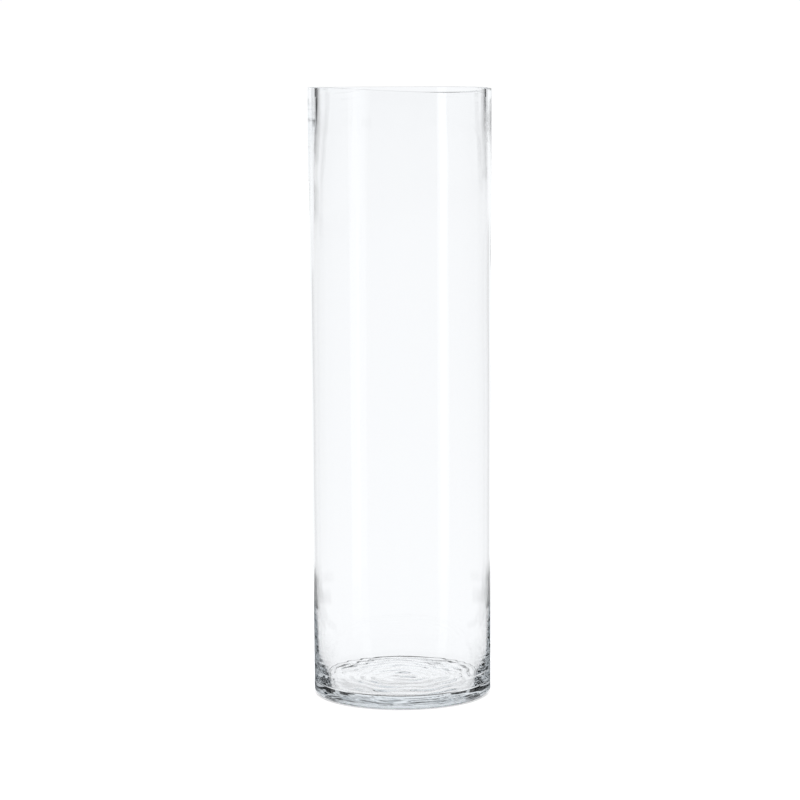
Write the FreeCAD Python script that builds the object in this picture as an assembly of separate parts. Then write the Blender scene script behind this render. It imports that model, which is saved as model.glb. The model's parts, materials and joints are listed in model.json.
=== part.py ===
import FreeCAD, Part
import math
import os

from FreeCAD import Vector

# Tall glass cylinder vase, blown in a mould as one piece of clear soda-lime glass.
# Millimetres, +Z up. The origin is the centre of the circle that the vase stands on.
# The whole shape is one half-section, turned once round the Z axis.

# Outside
HEIGHT = 508.0
RIM_DIAMETER = 152.0
FOOT_DIAMETER = 149.0  # a little narrower than the rim, so that the vase leaves its mould
HEEL_ROUND = 4.5  # radius of the outer bottom corner
REST_RING_WIDTH = 8.5  # flat ring that touches the table, just inside the heel
PUSH_UP = 1.0  # how far the middle of the underside is hollowed

# Rim, cut square and fire-polished
MOUTH_DIAMETER = 138.4
MOUTH_DEPTH = 8.0  # straight stretch of wall below the rim
RIM_ROUND = 0.8

# Inside
FLOOR_HEIGHT = 10.0  # top of the floor above the table
FLOOR_DIAMETER = 128.6  # flat part of the floor
CORNER_ROUND = 2.0  # radius between the floor and the wall
WALL_LEAN = 13.0  # degrees that the foot of the inner wall leans in over the floor's edge

# Wall thickness at chosen heights. Glass sinks and gathers at the foot and stays
# thick at the cut rim, so the wall is thinnest in the lower middle.
WALL_BY_HEIGHT = [
    (480.0, 5.5),
    (455.0, 4.1),
    (410.0, 3.2),
    (320.0, 2.7),
    (230.0, 2.1),
    (140.0, 1.8),
    (95.0, 1.9),
    (66.0, 2.6),
    (46.0, 3.8),
    (28.0, 5.3),
]


def at(radius, height):
    """A point of the half-section, which lies in the XZ plane."""
    return Vector(radius, 0, height)


def line(start, end):
    return Part.LineSegment(start, end).toShape()


def rounding(start, end, centre):
    """The shorter arc from start to end about centre."""
    middle = (start + end) * 0.5 - centre
    middle.normalize()
    through = centre + middle * (start - centre).Length
    return Part.Arc(start, through, end).toShape()


def outer_radius(height):
    """Radius of the drafted outer wall at a height."""
    draft = (RIM_DIAMETER - FOOT_DIAMETER) / 2 / HEIGHT
    return FOOT_DIAMETER / 2 + draft * height


def underside():
    """Shallow hollow, resting ring and rounded heel, from the axis out to the wall."""
    heel_centre = at(FOOT_DIAMETER / 2 - HEEL_ROUND, HEEL_ROUND)
    ring_outer = at(heel_centre.x, 0)
    ring_inner = at(heel_centre.x - REST_RING_WIDTH, 0)
    dome_radius = (ring_inner.x**2 + PUSH_UP**2) / (2 * PUSH_UP)
    half_way = ring_inner.x / 2
    drop = dome_radius - math.sqrt(dome_radius**2 - half_way**2)
    wall_foot = at(FOOT_DIAMETER / 2, HEEL_ROUND)
    return [
        Part.Arc(at(0, PUSH_UP), at(half_way, PUSH_UP - drop), ring_inner).toShape(),
        line(ring_inner, ring_outer),
        rounding(ring_outer, wall_foot, heel_centre),
    ]


def rim():
    """Outer wall and the cut rim, from the heel to the bottom of the mouth."""
    outer = RIM_DIAMETER / 2
    mouth = MOUTH_DIAMETER / 2
    shoulder = HEIGHT - RIM_ROUND
    outer_centre = at(outer - RIM_ROUND, shoulder)
    inner_centre = at(mouth + RIM_ROUND, shoulder)
    return [
        line(at(FOOT_DIAMETER / 2, HEEL_ROUND), at(outer, shoulder)),
        rounding(at(outer, shoulder), at(outer_centre.x, HEIGHT), outer_centre),
        line(at(outer_centre.x, HEIGHT), at(inner_centre.x, HEIGHT)),
        rounding(at(inner_centre.x, HEIGHT), at(mouth, shoulder), inner_centre),
        line(at(mouth, shoulder), at(mouth, HEIGHT - MOUTH_DEPTH)),
    ]


def inside():
    """Inner wall as one smooth curve, then the corner and the floor back to the axis."""
    mouth_foot = at(MOUTH_DIAMETER / 2, HEIGHT - MOUTH_DEPTH)
    lean = math.radians(WALL_LEAN)
    corner_centre = at(FLOOR_DIAMETER / 2, FLOOR_HEIGHT + CORNER_ROUND)
    wall_end = corner_centre + at(math.cos(lean), -math.sin(lean)) * CORNER_ROUND
    floor_edge = at(FLOOR_DIAMETER / 2, FLOOR_HEIGHT)
    wall_points = [at(outer_radius(z) - wall, z) for z, wall in WALL_BY_HEIGHT]
    curve = Part.BSplineCurve()
    curve.interpolate(
        Points=[mouth_foot, *wall_points, wall_end],
        InitialTangent=Vector(0, 0, -1),
        FinalTangent=at(-math.sin(lean), -math.cos(lean)),
    )
    return [
        curve.toShape(),
        rounding(wall_end, floor_edge, corner_centre),
        line(floor_edge, at(0, FLOOR_HEIGHT)),
        line(at(0, FLOOR_HEIGHT), at(0, PUSH_UP)),
    ]


def vase_body():
    """The half-section turned into the solid vase."""
    outline = Part.Wire(underside() + rim() + inside())
    if not outline.isClosed():
        raise ValueError("the half-section is not closed")
    section = Part.Face(outline)
    solid = section.revolve(Vector(0, 0, 0), Vector(0, 0, 1), 360)
    if not solid.isValid():
        raise ValueError("the vase is not a valid solid")
    return solid


def main():
    os.makedirs("parts", exist_ok=True)
    vase_body().exportStep("parts/vase_body.step")


main()
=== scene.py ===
import json
import math

import bpy
import numpy as np
from mathutils import Matrix, Vector, noise


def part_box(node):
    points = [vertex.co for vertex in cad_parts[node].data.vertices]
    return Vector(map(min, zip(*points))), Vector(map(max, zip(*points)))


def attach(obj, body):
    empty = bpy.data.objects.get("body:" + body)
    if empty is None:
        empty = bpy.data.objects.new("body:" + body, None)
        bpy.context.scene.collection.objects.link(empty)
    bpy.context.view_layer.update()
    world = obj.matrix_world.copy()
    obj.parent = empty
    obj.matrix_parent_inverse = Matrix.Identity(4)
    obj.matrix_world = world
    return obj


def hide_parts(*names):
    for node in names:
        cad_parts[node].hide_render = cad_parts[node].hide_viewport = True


# A tall clear glass cylinder vase on a pale floor, in metres, +Z up, mouth at the top.
# The CAD node is the plain turned solid. The piece made here has the same size and adds
# what blown glass has: an uneven wall and rim, a rippled floor and a slightly hazy skin.
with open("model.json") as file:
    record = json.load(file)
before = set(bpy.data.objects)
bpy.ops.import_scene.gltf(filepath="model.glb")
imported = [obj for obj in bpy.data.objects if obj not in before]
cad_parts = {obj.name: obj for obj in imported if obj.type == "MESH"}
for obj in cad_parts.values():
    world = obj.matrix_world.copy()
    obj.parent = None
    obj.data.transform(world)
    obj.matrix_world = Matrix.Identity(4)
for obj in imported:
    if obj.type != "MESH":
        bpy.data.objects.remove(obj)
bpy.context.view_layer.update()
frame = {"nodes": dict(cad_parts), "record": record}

MM = 0.001
DEG = math.radians(1)

# Sizes read from the frame
vase_low, vase_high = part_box("vase_body")
HEIGHT = vase_high.z
RIM_RADIUS = round(vase_high.x, 4)
MOUTH = {m["name"]: m["dims"] for m in frame["record"]["mounts"]}["mouth"]
MOUTH_RADIUS = MOUTH["r_mm"] * MM

# Small sizes of the section, as in the CAD solid
FOOT_RADIUS = 74.5 * MM
RIM_ROUND = 0.8 * MM
MOUTH_DEPTH = MOUTH["length_mm"] * MM + RIM_ROUND
HEEL_ROUND = 4.5 * MM
REST_RING_WIDTH = 8.5 * MM
PUSH_UP = 1.0 * MM
FLOOR_HEIGHT = 10.0 * MM
FLOOR_RADIUS = 64.3 * MM
CORNER_ROUND = 2.0 * MM
CORNER_LEAN = 13.0  # degrees that the foot of the inner wall leans in

# Mesh density
SEGMENTS = 224
POLE = 0.6 * MM  # radius of the small fans that close both poles

# Glass
GLASS_IOR = 1.52
DEPTH_COLOUR = (0.87, 0.90, 0.92, 1)
DEPTH_DENSITY = 10.0  # per metre of glass
HAZE = 0.002  # roughness of the dullest patches
SKIN_RELIEF = 0.0007 * MM  # height of the fire-polished skin's unevenness

# Unevenness of the wall and the floor
WALL_LEAN = 1.0 * MM  # how far the mouth sits off the axis
SLOW_WAVE = 0.08 * MM  # height of the waves left by blowing
CHILL_TOP = 42 * MM  # how far up the inner wall the chill rings reach
CHILL_SPACING = 3.1 * MM
CHILL_HEIGHT = 0.014 * MM
SPECKLE = 0.01 * MM  # height of the small lumps on the floor and the underside
PUCKERS = [  # x, y, reach and height of each wrinkled patch of the floor
    (29 * MM, -2 * MM, 14 * MM, 0.14 * MM),
    (-30 * MM, 6 * MM, 8 * MM, 0.10 * MM),
    (-44 * MM, -26 * MM, 7 * MM, 0.10 * MM),
]

# Unevenness of the rim
RIM_SAG = 4.6 * MM  # how much lower the rim is at its lowest, where the cut ran low
SAG_ANGLE = 60  # degrees from +X towards +Y, to the rim's lowest place
LIP_WIDTH = 2.4 * MM  # how far the rim's inner edge is worn
LIP_SLOPE = 0.5  # how steeply it is worn down
LIP_ANGLE = 25  # degrees from +X towards +Y, to the most worn place


# ---------------------------------------------------------------- section


def natural_spline(knots, values, samples):
    """Smooth curve through (knots, values), read at samples. The knots go up."""
    gap = np.diff(knots)
    slope = np.diff(values) / gap
    count = len(knots)
    system = np.eye(count)
    right = np.zeros(count)
    for i in range(1, count - 1):
        system[i, i - 1 : i + 2] = gap[i - 1], 2 * (gap[i - 1] + gap[i]), gap[i]
        right[i] = 6 * (slope[i] - slope[i - 1])
    bend = np.linalg.solve(system, right)
    at = np.clip(np.searchsorted(knots, samples) - 1, 0, count - 2)
    width = gap[at]
    before = (knots[at + 1] - samples) / width
    after = 1 - before
    straight = before * values[at] + after * values[at + 1]
    curved = (before**3 - before) * bend[at] + (after**3 - after) * bend[at + 1]
    return straight + curved * width**2 / 6


def outer_radius(height):
    """Radius of the drafted outer wall."""
    return FOOT_RADIUS + (RIM_RADIUS - FOOT_RADIUS) * height / HEIGHT


def cad_inner_wall(spacing=14 * MM):
    """Heights and radii of the CAD solid's inner wall, from the corner to the mouth."""
    mesh = frame["nodes"]["vase_body"].data
    points = np.array([v.co for v in mesh.vertices])
    radius = np.hypot(points[:, 0], points[:, 1])
    low = FLOOR_HEIGHT + CORNER_ROUND * (1 - math.sin(CORNER_LEAN * DEG))
    high = HEIGHT - MOUTH_DEPTH
    inner = (radius < outer_radius(points[:, 2]) - 1 * MM) & (radius > FLOOR_RADIUS)
    inner &= (points[:, 2] > low - MM / 10) & (points[:, 2] < high + MM / 10)
    heights, radii = points[inner, 2], radius[inner]
    wanted = np.linspace(low, high, round((high - low) / spacing))
    chosen = sorted({int(np.argmin(abs(heights - z))) for z in wanted}, key=lambda i: heights[i])
    return heights[chosen], radii[chosen]


def arc(centre, radius, start, end, count):
    """Points of an arc in the section plane; angles in degrees, 0 outward and 90 up."""
    angle = np.linspace(start, end, count) * DEG
    return centre[0] + radius * np.cos(angle), centre[1] + radius * np.sin(angle)


def graded(length, step, first=0.05 * MM, growth=1.9):
    """Places from 0 to 1 along a length: very close at both ends, then step apart."""
    near = [0.0]
    gap = first
    while gap < step and near[-1] + gap < 0.3 * length:
        near.append(near[-1] + gap)
        gap *= growth
    middle = length - 2 * near[-1]
    inner = np.linspace(0, middle, max(2, round(middle / step) + 1))[1:-1] + near[-1]
    places = near + list(inner) + [length - place for place in reversed(near)]
    return np.array(places) / length


def run(start, end, step):
    """Points of a straight stretch of the section."""
    part = graded(math.dist(start, end), step)
    return start[0] + (end[0] - start[0]) * part, start[1] + (end[1] - start[1]) * part


def half_section():
    """Named stretches of the half-section, from the underside's middle round to the floor's."""
    ring_outer = FOOT_RADIUS - HEEL_ROUND
    ring_inner = ring_outer - REST_RING_WIDTH
    shoulder = HEIGHT - RIM_ROUND
    lip_outer, lip_inner = RIM_RADIUS - RIM_ROUND, MOUTH_RADIUS + RIM_ROUND
    dome_r, _ = run((POLE, 0), (ring_inner, 0), 1.3 * MM)
    dome_z = PUSH_UP * (1 - (dome_r / ring_inner) ** 2)
    wall_heights, wall_radii = cad_inner_wall()
    wall_foot, wall_top = wall_heights[0], wall_heights[-1]
    marked = wall_foot + CHILL_TOP
    inner_z = wall_top + (marked - wall_top) * graded(wall_top - marked, 5 * MM)
    inner_z = np.append(inner_z, np.linspace(marked, wall_foot, 66)[1:])
    inner_r = natural_spline(wall_heights, wall_radii, inner_z)
    corner = (FLOOR_RADIUS, FLOOR_HEIGHT + CORNER_ROUND)
    return [
        ("underside", dome_r, dome_z),
        ("ring", *run((ring_inner, 0), (ring_outer, 0), 1.2 * MM)),
        ("heel", *arc((ring_outer, HEEL_ROUND), HEEL_ROUND, -90, 0, 12)),
        ("outer", *run((FOOT_RADIUS, HEEL_ROUND), (RIM_RADIUS, shoulder), 20 * MM)),
        ("lip", *arc((lip_outer, shoulder), RIM_ROUND, 0, 90, 7)),
        ("lip", *run((lip_outer, HEIGHT), (lip_inner, HEIGHT), 1 * MM)),
        ("lip", *arc((lip_inner, shoulder), RIM_ROUND, 90, 180, 7)),
        ("mouth", *run((MOUTH_RADIUS, shoulder), (MOUTH_RADIUS, wall_top), 1 * MM)),
        ("inner", inner_r, inner_z),
        ("corner", *arc(corner, CORNER_ROUND, -CORNER_LEAN, -90, 14)),
        ("floor", *run((FLOOR_RADIUS, FLOOR_HEIGHT), (POLE, FLOOR_HEIGHT), 0.8 * MM)),
    ]


# ---------------------------------------------------------------- uneven glass


def ease(low, high, value):
    """0 below low, 1 above high, smooth between."""
    t = np.clip((value - low) / (high - low), 0, 1)
    return t * t * (3 - 2 * t)


def lumps(points, size, seed):
    """Smooth noise, about -1 to 1, with features of that size, at each point."""
    shift = Vector((17.1 * seed, 9.3 * seed, 5.7 * seed))
    flat = points.reshape(-1, 3) / size
    found = [noise.noise(Vector(p) + shift) for p in flat.tolist()]
    return np.array(found).reshape(points.shape[:-1])


def hump(angle, middle, power):
    """1 at the middle angle, falling smoothly to 0 on the far side of the circle."""
    return (0.5 + 0.5 * np.cos(angle - middle * DEG)) ** power


def slant_rim(points):
    """Lowers the rim, and the wall below it less and less, and slopes its inner edge."""
    angle = np.arctan2(points[..., 1], points[..., 0])
    from_mouth = np.hypot(points[..., 0] - WALL_LEAN, points[..., 1]) - MOUTH_RADIUS
    height = points[..., 2].copy()
    drop = RIM_SAG * hump(angle, SAG_ANGLE, 3)
    points[..., 2] -= drop * ease(HEIGHT - 80 * MM, HEIGHT, height)
    slope = LIP_SLOPE * hump(angle, LIP_ANGLE, 8) * np.clip(LIP_WIDTH - from_mouth, 0, LIP_WIDTH)
    points[..., 2] -= slope * ease(HEIGHT - 6 * MM, HEIGHT - 0.5 * MM, height)


def thicken_wall(points, zone):
    """The inner face leans towards +X near the rim, so the wall is thicker at -X."""
    inside = np.isin(zone, ("mouth", "inner", "lip"))[None, :]
    radius = np.hypot(points[..., 0], points[..., 1])
    inside = inside & (radius < MOUTH_RADIUS + 3.5 * MM)
    points[..., 0] += inside * WALL_LEAN * ease(HEIGHT - 168 * MM, HEIGHT - 8 * MM, points[..., 2])


def wave_wall(points, zone):
    """Slow waves left by blowing, and fine chill rings low on the inner face."""
    inside = np.isin(zone, ("mouth", "inner", "corner"))[None, :]
    x, y, z = points[..., 0], points[..., 1], points[..., 2]
    radius = np.hypot(x, y)
    slow = SLOW_WAVE * lumps(points * (1, 1, 0.4), 34 * MM, 1)
    slow *= ease(FLOOR_HEIGHT + CORNER_ROUND, 60 * MM, z)
    slow *= 1 - ease(HEIGHT - 120 * MM, HEIGHT - 40 * MM, z)
    turn = z / CHILL_SPACING + 1.4 * lumps(points, 40 * MM, 2)
    chill = np.sin(2 * np.pi * turn) * (0.6 + 0.8 * lumps(points * (1, 1, 3), 30 * MM, 12))
    chill *= CHILL_HEIGHT * ease(FLOOR_HEIGHT, 16 * MM, z)
    chill *= 1 - ease(24 * MM, FLOOR_HEIGHT + CHILL_TOP, z)
    factor = 1 + inside * (slow + chill) / radius
    points[..., 0] *= factor
    points[..., 1] *= factor


def ripple(points, zone, name, fading, spacing, height, seed):
    """Wandering rings and small lumps on a flat zone, fading out beside the floor's edge."""
    here = (zone == name)[None, :]
    edge = FLOOR_RADIUS
    radius = np.hypot(points[..., 0], points[..., 1])
    wobble = lumps(points, 24 * MM, seed)
    rings = np.sin(2 * np.pi * (radius / spacing + 0.8 * wobble))
    strength = 0.5 + 0.9 * lumps(points, 22 * MM, seed + 1) + 0.8 * ease(edge / 2, edge, radius)
    fine = lumps(points, 7 * MM, seed + 2)
    fade = 1 - ease(edge - fading, edge, radius)
    points[..., 2] += here * fade * (height * rings * strength + SPECKLE * fine)


def pucker(points, zone):
    """Small wrinkles in the floor where the gather cooled first."""
    floor = (zone == "floor")[None, :]
    fine = lumps(points, 5.5 * MM, 21)
    for x, y, reach, height in PUCKERS:
        away = np.hypot(points[..., 0] - x, points[..., 1] - y) / reach
        points[..., 2] += floor * height * fine * np.exp(-(away**2))


def shape_glass(points, zone):
    """Moves the turned section's points to where blown glass has them, inside the CAD box."""
    thicken_wall(points, zone)
    wave_wall(points, zone)
    slant_rim(points)
    ripple(points, zone, "floor", fading=4 * MM, spacing=10 * MM, height=0.23 * MM, seed=3)
    pucker(points, zone)
    ripple(points, zone, "underside", fading=6 * MM, spacing=11 * MM, height=0.10 * MM, seed=6)
    ring = (zone == "ring")[None, :]
    points[..., 2] += ring * 0.05 * MM * (1 + lumps(points, 14 * MM, 9))
    np.clip(points, tuple(vase_low), tuple(vase_high), out=points)
    return points


# ---------------------------------------------------------------- mesh


def whole_section():
    """Zone names, radii and heights round the half-section, shared points only once."""
    zones, radii, heights = [], [], []
    for zone, r, z in half_section():
        start = 1 if radii else 0
        zones += [zone] * (len(r) - start)
        radii += list(r[start:])
        heights += list(z[start:])
    return np.array(zones), np.array(radii), np.array(heights)


def turned_faces(stations):
    """Quads round the vase, and a fan of triangles at each pole."""
    south, north = SEGMENTS * stations, SEGMENTS * stations + 1
    faces = []
    for i in range(SEGMENTS):
        here, there = i * stations, (i + 1) % SEGMENTS * stations
        faces.append((south, there, here))
        for k in range(stations - 1):
            faces.append((here + k, there + k, there + k + 1, here + k + 1))
        faces.append((here + stations - 1, there + stations - 1, north))
    return faces


def turned_mesh(name):
    """The half-section turned round Z, shaped, and closed at both poles."""
    zones, radii, heights = whole_section()
    angle = np.arange(SEGMENTS) * 2 * np.pi / SEGMENTS
    x, y = np.outer(np.cos(angle), radii), np.outer(np.sin(angle), radii)
    points = np.stack([x, y, np.broadcast_to(heights, x.shape)], axis=-1)
    points = shape_glass(points, zones)
    poles = [(0, 0, points[:, end, 2].mean()) for end in (0, -1)]
    mesh = bpy.data.meshes.new(name)
    mesh.from_pydata(points.reshape(-1, 3).tolist() + poles, [], turned_faces(len(radii)))
    mesh.validate()
    mesh.shade_smooth()
    return mesh


# ---------------------------------------------------------------- glass


def noise_node(nodes, links, place, size):
    """Soft noise with lumps of that size in metres."""
    node = nodes.new("ShaderNodeTexNoise")
    links.new(place, node.inputs["Vector"])
    node.inputs["Scale"].default_value = 1 / size
    node.inputs["Detail"].default_value = 1.0
    return node.outputs["Fac"]


def glass_material():
    """Clear soda-lime glass with a faint grey-blue depth colour.

    The skin has the slight unevenness of fire polish and a few duller patches.
    """
    material = bpy.data.materials.new("blown_glass")
    material.use_nodes = True
    nodes, links = material.node_tree.nodes, material.node_tree.links
    shader = nodes["Principled BSDF"]
    shader.inputs["Base Color"].default_value = (1, 1, 1, 1)
    shader.inputs["IOR"].default_value = GLASS_IOR
    shader.inputs["Transmission Weight"].default_value = 1.0
    place = nodes.new("ShaderNodeTexCoord").outputs["Object"]
    haze = noise_node(nodes, links, place, 14 * MM)
    polish = nodes.new("ShaderNodeMapRange")
    links.new(haze, polish.inputs["Value"])
    polish.inputs["From Min"].default_value = 0.5
    polish.inputs["From Max"].default_value = 0.8
    polish.inputs["To Max"].default_value = HAZE
    links.new(polish.outputs["Result"], shader.inputs["Roughness"])
    skin = nodes.new("ShaderNodeBump")
    links.new(noise_node(nodes, links, place, 7 * MM), skin.inputs["Height"])
    skin.inputs["Strength"].default_value = 1.0
    skin.inputs["Distance"].default_value = SKIN_RELIEF
    links.new(skin.outputs["Normal"], shader.inputs["Normal"])
    depth = nodes.new("ShaderNodeVolumeAbsorption")
    depth.inputs["Color"].default_value = DEPTH_COLOUR
    depth.inputs["Density"].default_value = DEPTH_DENSITY
    links.new(depth.outputs["Volume"], nodes["Material Output"].inputs["Volume"])
    return material


def make_vase():
    """The one piece, in place of the plain CAD solid."""
    vase = bpy.data.objects.new("vase_glass", turned_mesh("vase_glass"))
    bpy.context.scene.collection.objects.link(vase)
    vase.data.materials.append(glass_material())
    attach(vase, "root")
    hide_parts("vase_body")
    return vase


# ---------------------------------------------------------------- studio

WHITE = 1.02  # brightness of the background, just over what the picture can hold
GLOW = 1.5  # brightness of the background as a lamp for the table
STUDIO_TINT = (0.982, 0.995, 1.012, 1)
BACK = 90.0  # azimuth, from +X, that the first view looks along
PANEL_EDGE = 0.5  # softness of a panel's edge, in degrees

# Brightness that the glass sees all round, by elevation in degrees: dark under the foot,
# a white table round it, greyer with distance, and a half-lit room above.
SURROUND = [
    (-60.0, 0.05),
    (-46.0, 0.05),
    (-42.0, 1.0),
    (-20.0, 1.0),
    (-11.0, 0.90),
    (-6.7, 0.83),
    (-2.4, 0.78),
    (-1.3, 0.68),
    (-0.3, 0.60),
]


def both_sides(offset, *rest):
    """The same panel left and right of the backdrop."""
    return [(BACK + offset, *rest), (BACK - offset, *rest)]


# Panels round the vase, as it sees them: azimuth, half width, lowest and highest
# elevation, all in degrees, then brightness. A later panel hides an earlier one.
PANELS = [
    # White ceiling, and dark flags high up behind the camera and at the sides
    (BACK, 180, 45, 90, 1.0),
    (BACK + 180, 40, 15, 45, 0.05),
    *both_sides(95, 45, 12, 45, 0.0),
    # White backdrop, light walls at the sides, and a dark flag over the backdrop's top
    (BACK, 28, -42, 24, 1.0),
    (BACK, 34, -10, 24, 1.0),
    *both_sides(90, 40, -0.7, 12, 0.8),
    (BACK, 30, 16, 45, 0.15),
    # Narrow black flags beside the backdrop, for the dark lines in the glass
    (BACK + 43.5, 7.5, -0.9, 1.2, 0.0),
    (BACK + 44.5, 6.5, 3.2, 35, 0.0),
    (BACK - 43.5, 7.5, -0.8, 0.6, 0.0),
    (BACK - 44.5, 6.5, 0.6, 35, 0.0),
    (BACK + 29, 6, 9.8, 16, 0.0),
    (BACK - 29, 6, 9.5, 16, 0.0),
    # Low flags for the dark sides of the foot, and grey strips for the wall's thin edges
    *both_sides(26.5, 12.5, -15.5, -11.0, 0.0),
    *both_sides(53, 20, -13.9, -12.3, 0.0),
    *both_sides(31, 6, -11, -3, 0.72),
    # Two strip lights behind the camera, for the bright bands
    (BACK + 119, 6.5, -12, 14, 1.3),
    (BACK - 126, 6.5, -12, 14, 1.2),
]


def set_input(links, socket, value):
    """Links the socket if the value is another socket, and sets it if it is a constant."""
    if isinstance(value, bpy.types.NodeSocket):
        links.new(value, socket)
    else:
        socket.default_value = value


def math_node(nodes, links, operation, *values):
    node = nodes.new("ShaderNodeMath")
    node.operation = operation
    for socket, value in zip(node.inputs, values):
        set_input(links, socket, value)
    return node.outputs[0]


def vector_node(nodes, links, operation, *values):
    node = nodes.new("ShaderNodeVectorMath")
    node.operation = operation
    for socket, value in zip(node.inputs, values):
        set_input(links, socket, value)
    return node.outputs["Value" if operation == "DOT_PRODUCT" else "Vector"]


def mix_node(nodes, links, amount, first, second, kind="FLOAT"):
    """The first value where amount is 0, the second where it is 1."""
    node = nodes.new("ShaderNodeMix")
    node.data_type = kind
    for name, value in (("Factor", amount), ("A", first), ("B", second)):
        set_input(links, node.inputs[name], value)
    return node.outputs["Result"]


def soft_step(nodes, links, value, low, high):
    """0 below low and 1 above high, or the other way round if low is the larger."""
    node = nodes.new("ShaderNodeMapRange")
    node.interpolation_type = "SMOOTHSTEP"
    links.new(value, node.inputs["Value"])
    node.inputs["From Min"].default_value = min(low, high)
    node.inputs["From Max"].default_value = max(low, high)
    node.inputs["To Min"].default_value = 0 if low < high else 1
    node.inputs["To Max"].default_value = 1 if low < high else 0
    return node.outputs["Result"]


def surround_glow(nodes, links, elevation):
    """The brightness that SURROUND gives at an elevation."""
    low, high = SURROUND[0][0], SURROUND[-1][0]
    ramp = nodes.new("ShaderNodeFloatCurve")
    curve = ramp.mapping.curves[0]
    for angle, brightness in SURROUND[1:-1]:
        curve.points.new((angle - low) / (high - low), brightness)
    curve.points[0].location = (0, SURROUND[0][1])
    curve.points[-1].location = (1, SURROUND[-1][1])
    for point in curve.points:
        point.handle_type = "VECTOR"
    ramp.mapping.update()
    place = nodes.new("ShaderNodeMapRange")
    links.new(elevation, place.inputs["Value"])
    place.inputs["From Min"].default_value = low * DEG
    place.inputs["From Max"].default_value = high * DEG
    links.new(place.outputs["Result"], ramp.inputs["Value"])
    return ramp.outputs["Value"]


def panel_mask(nodes, links, compass, elevation, azimuth, half_width, low, high):
    """1 on a panel and 0 beside it, with a soft edge."""
    middle = (math.cos(azimuth * DEG), math.sin(azimuth * DEG), 0)
    facing = vector_node(nodes, links, "DOT_PRODUCT", compass, middle)
    off = math_node(nodes, links, "ARCCOSINE", facing)
    edge = PANEL_EDGE
    across = soft_step(nodes, links, off, (half_width + edge) * DEG, (half_width - edge) * DEG)
    above = soft_step(nodes, links, elevation, (low - edge) * DEG, (low + edge) * DEG)
    below = soft_step(nodes, links, elevation, (high + edge) * DEG, (high - edge) * DEG)
    mask = math_node(nodes, links, "MULTIPLY", across, above)
    return math_node(nodes, links, "MULTIPLY", mask, below)


def studio_glow(nodes, links):
    """Brightness of the studio in each direction: the surround with the panels on it."""
    direction = nodes.new("ShaderNodeTexCoord").outputs["Generated"]
    split = nodes.new("ShaderNodeSeparateXYZ")
    links.new(direction, split.inputs[0])
    elevation = math_node(nodes, links, "ARCSINE", split.outputs["Z"])
    level = vector_node(nodes, links, "MULTIPLY", direction, (1, 1, 0))
    compass = vector_node(nodes, links, "NORMALIZE", level)
    glow = surround_glow(nodes, links, elevation)
    for *place, brightness in PANELS:
        mask = panel_mask(nodes, links, compass, elevation, *place)
        glow = mix_node(nodes, links, mask, glow, brightness)
    return glow


def make_world():
    """White everywhere for the eye; the glass mirrors and bends a studio with panels."""
    world = bpy.data.worlds.new("studio")
    bpy.context.scene.world = world
    world.use_nodes = True
    nodes, links = world.node_tree.nodes, world.node_tree.links
    ray = nodes.new("ShaderNodeLightPath").outputs
    through_glass = math_node(
        nodes, links, "MAXIMUM", ray["Is Glossy Ray"], ray["Is Transmission Ray"]
    )
    plain = mix_node(nodes, links, ray["Is Diffuse Ray"], WHITE, GLOW)
    strength = mix_node(nodes, links, through_glass, plain, studio_glow(nodes, links))
    tint = mix_node(nodes, links, through_glass, (1, 1, 1, 1), STUDIO_TINT, "RGBA")
    links.new(strength, nodes["Background"].inputs["Strength"])
    links.new(tint, nodes["Background"].inputs["Color"])


def make_floor():
    """Pale table under the vase. The glass mirrors and bends the studio instead of it."""
    size = 12.0
    drop = -0.02 * MM
    corners = [(-size, -size), (size, -size), (size, size), (-size, size)]
    mesh = bpy.data.meshes.new("studio_floor")
    mesh.from_pydata([(x, y, drop) for x, y in corners], [], [(0, 1, 2, 3)])
    floor = bpy.data.objects.new("studio_floor", mesh)
    bpy.context.scene.collection.objects.link(floor)
    material = bpy.data.materials.new("pale_floor")
    material.use_nodes = True
    shader = material.node_tree.nodes["Principled BSDF"]
    shader.inputs["Base Color"].default_value = (0.92, 0.92, 0.92, 1)
    shader.inputs["Roughness"].default_value = 1.0
    shader.inputs["Specular IOR Level"].default_value = 0.0
    shader.inputs["Emission Color"].default_value = (1, 1, 1, 1)
    shader.inputs["Emission Strength"].default_value = 0.3
    mesh.materials.append(material)
    floor.visible_glossy = False
    floor.visible_transmission = False


# ---------------------------------------------------------------- camera

LENS = 120.6  # mm, on a sensor 36 mm wide
CAMERA_PLACE = (-0.95 * MM, -2.2265, HEIGHT + 1.1 * MM)
PITCH = 6.7 * DEG
ROLL = -0.297 * DEG
BOUNCES = 40


def make_camera():
    """Long lens, just above the rim's level, looking slightly down at the vase."""
    data = bpy.data.cameras.new("camera")
    camera = bpy.data.objects.new("camera", data)
    bpy.context.scene.collection.objects.link(camera)
    bpy.context.scene.camera = camera
    data.sensor_width = 36.0
    data.lens = LENS
    forward = Vector((0, math.cos(PITCH), -math.sin(PITCH)))
    level = Vector((1, 0, 0))
    upright = level.cross(forward)
    right = level * math.cos(ROLL) + upright * math.sin(ROLL)
    up = upright * math.cos(ROLL) - level * math.sin(ROLL)
    turn = Matrix((right, up, -forward)).transposed().to_4x4()
    camera.matrix_world = Matrix.Translation(CAMERA_PLACE) @ turn


def set_render():
    """Colours as they are, and enough bounces for light that runs along inside the wall."""
    scene = bpy.context.scene
    scene.view_settings.view_transform = "Standard"
    scene.cycles.max_bounces = BOUNCES
    scene.cycles.transmission_bounces = BOUNCES
    scene.cycles.glossy_bounces = BOUNCES


make_world()
make_floor()
make_camera()
set_render()
make_vase()
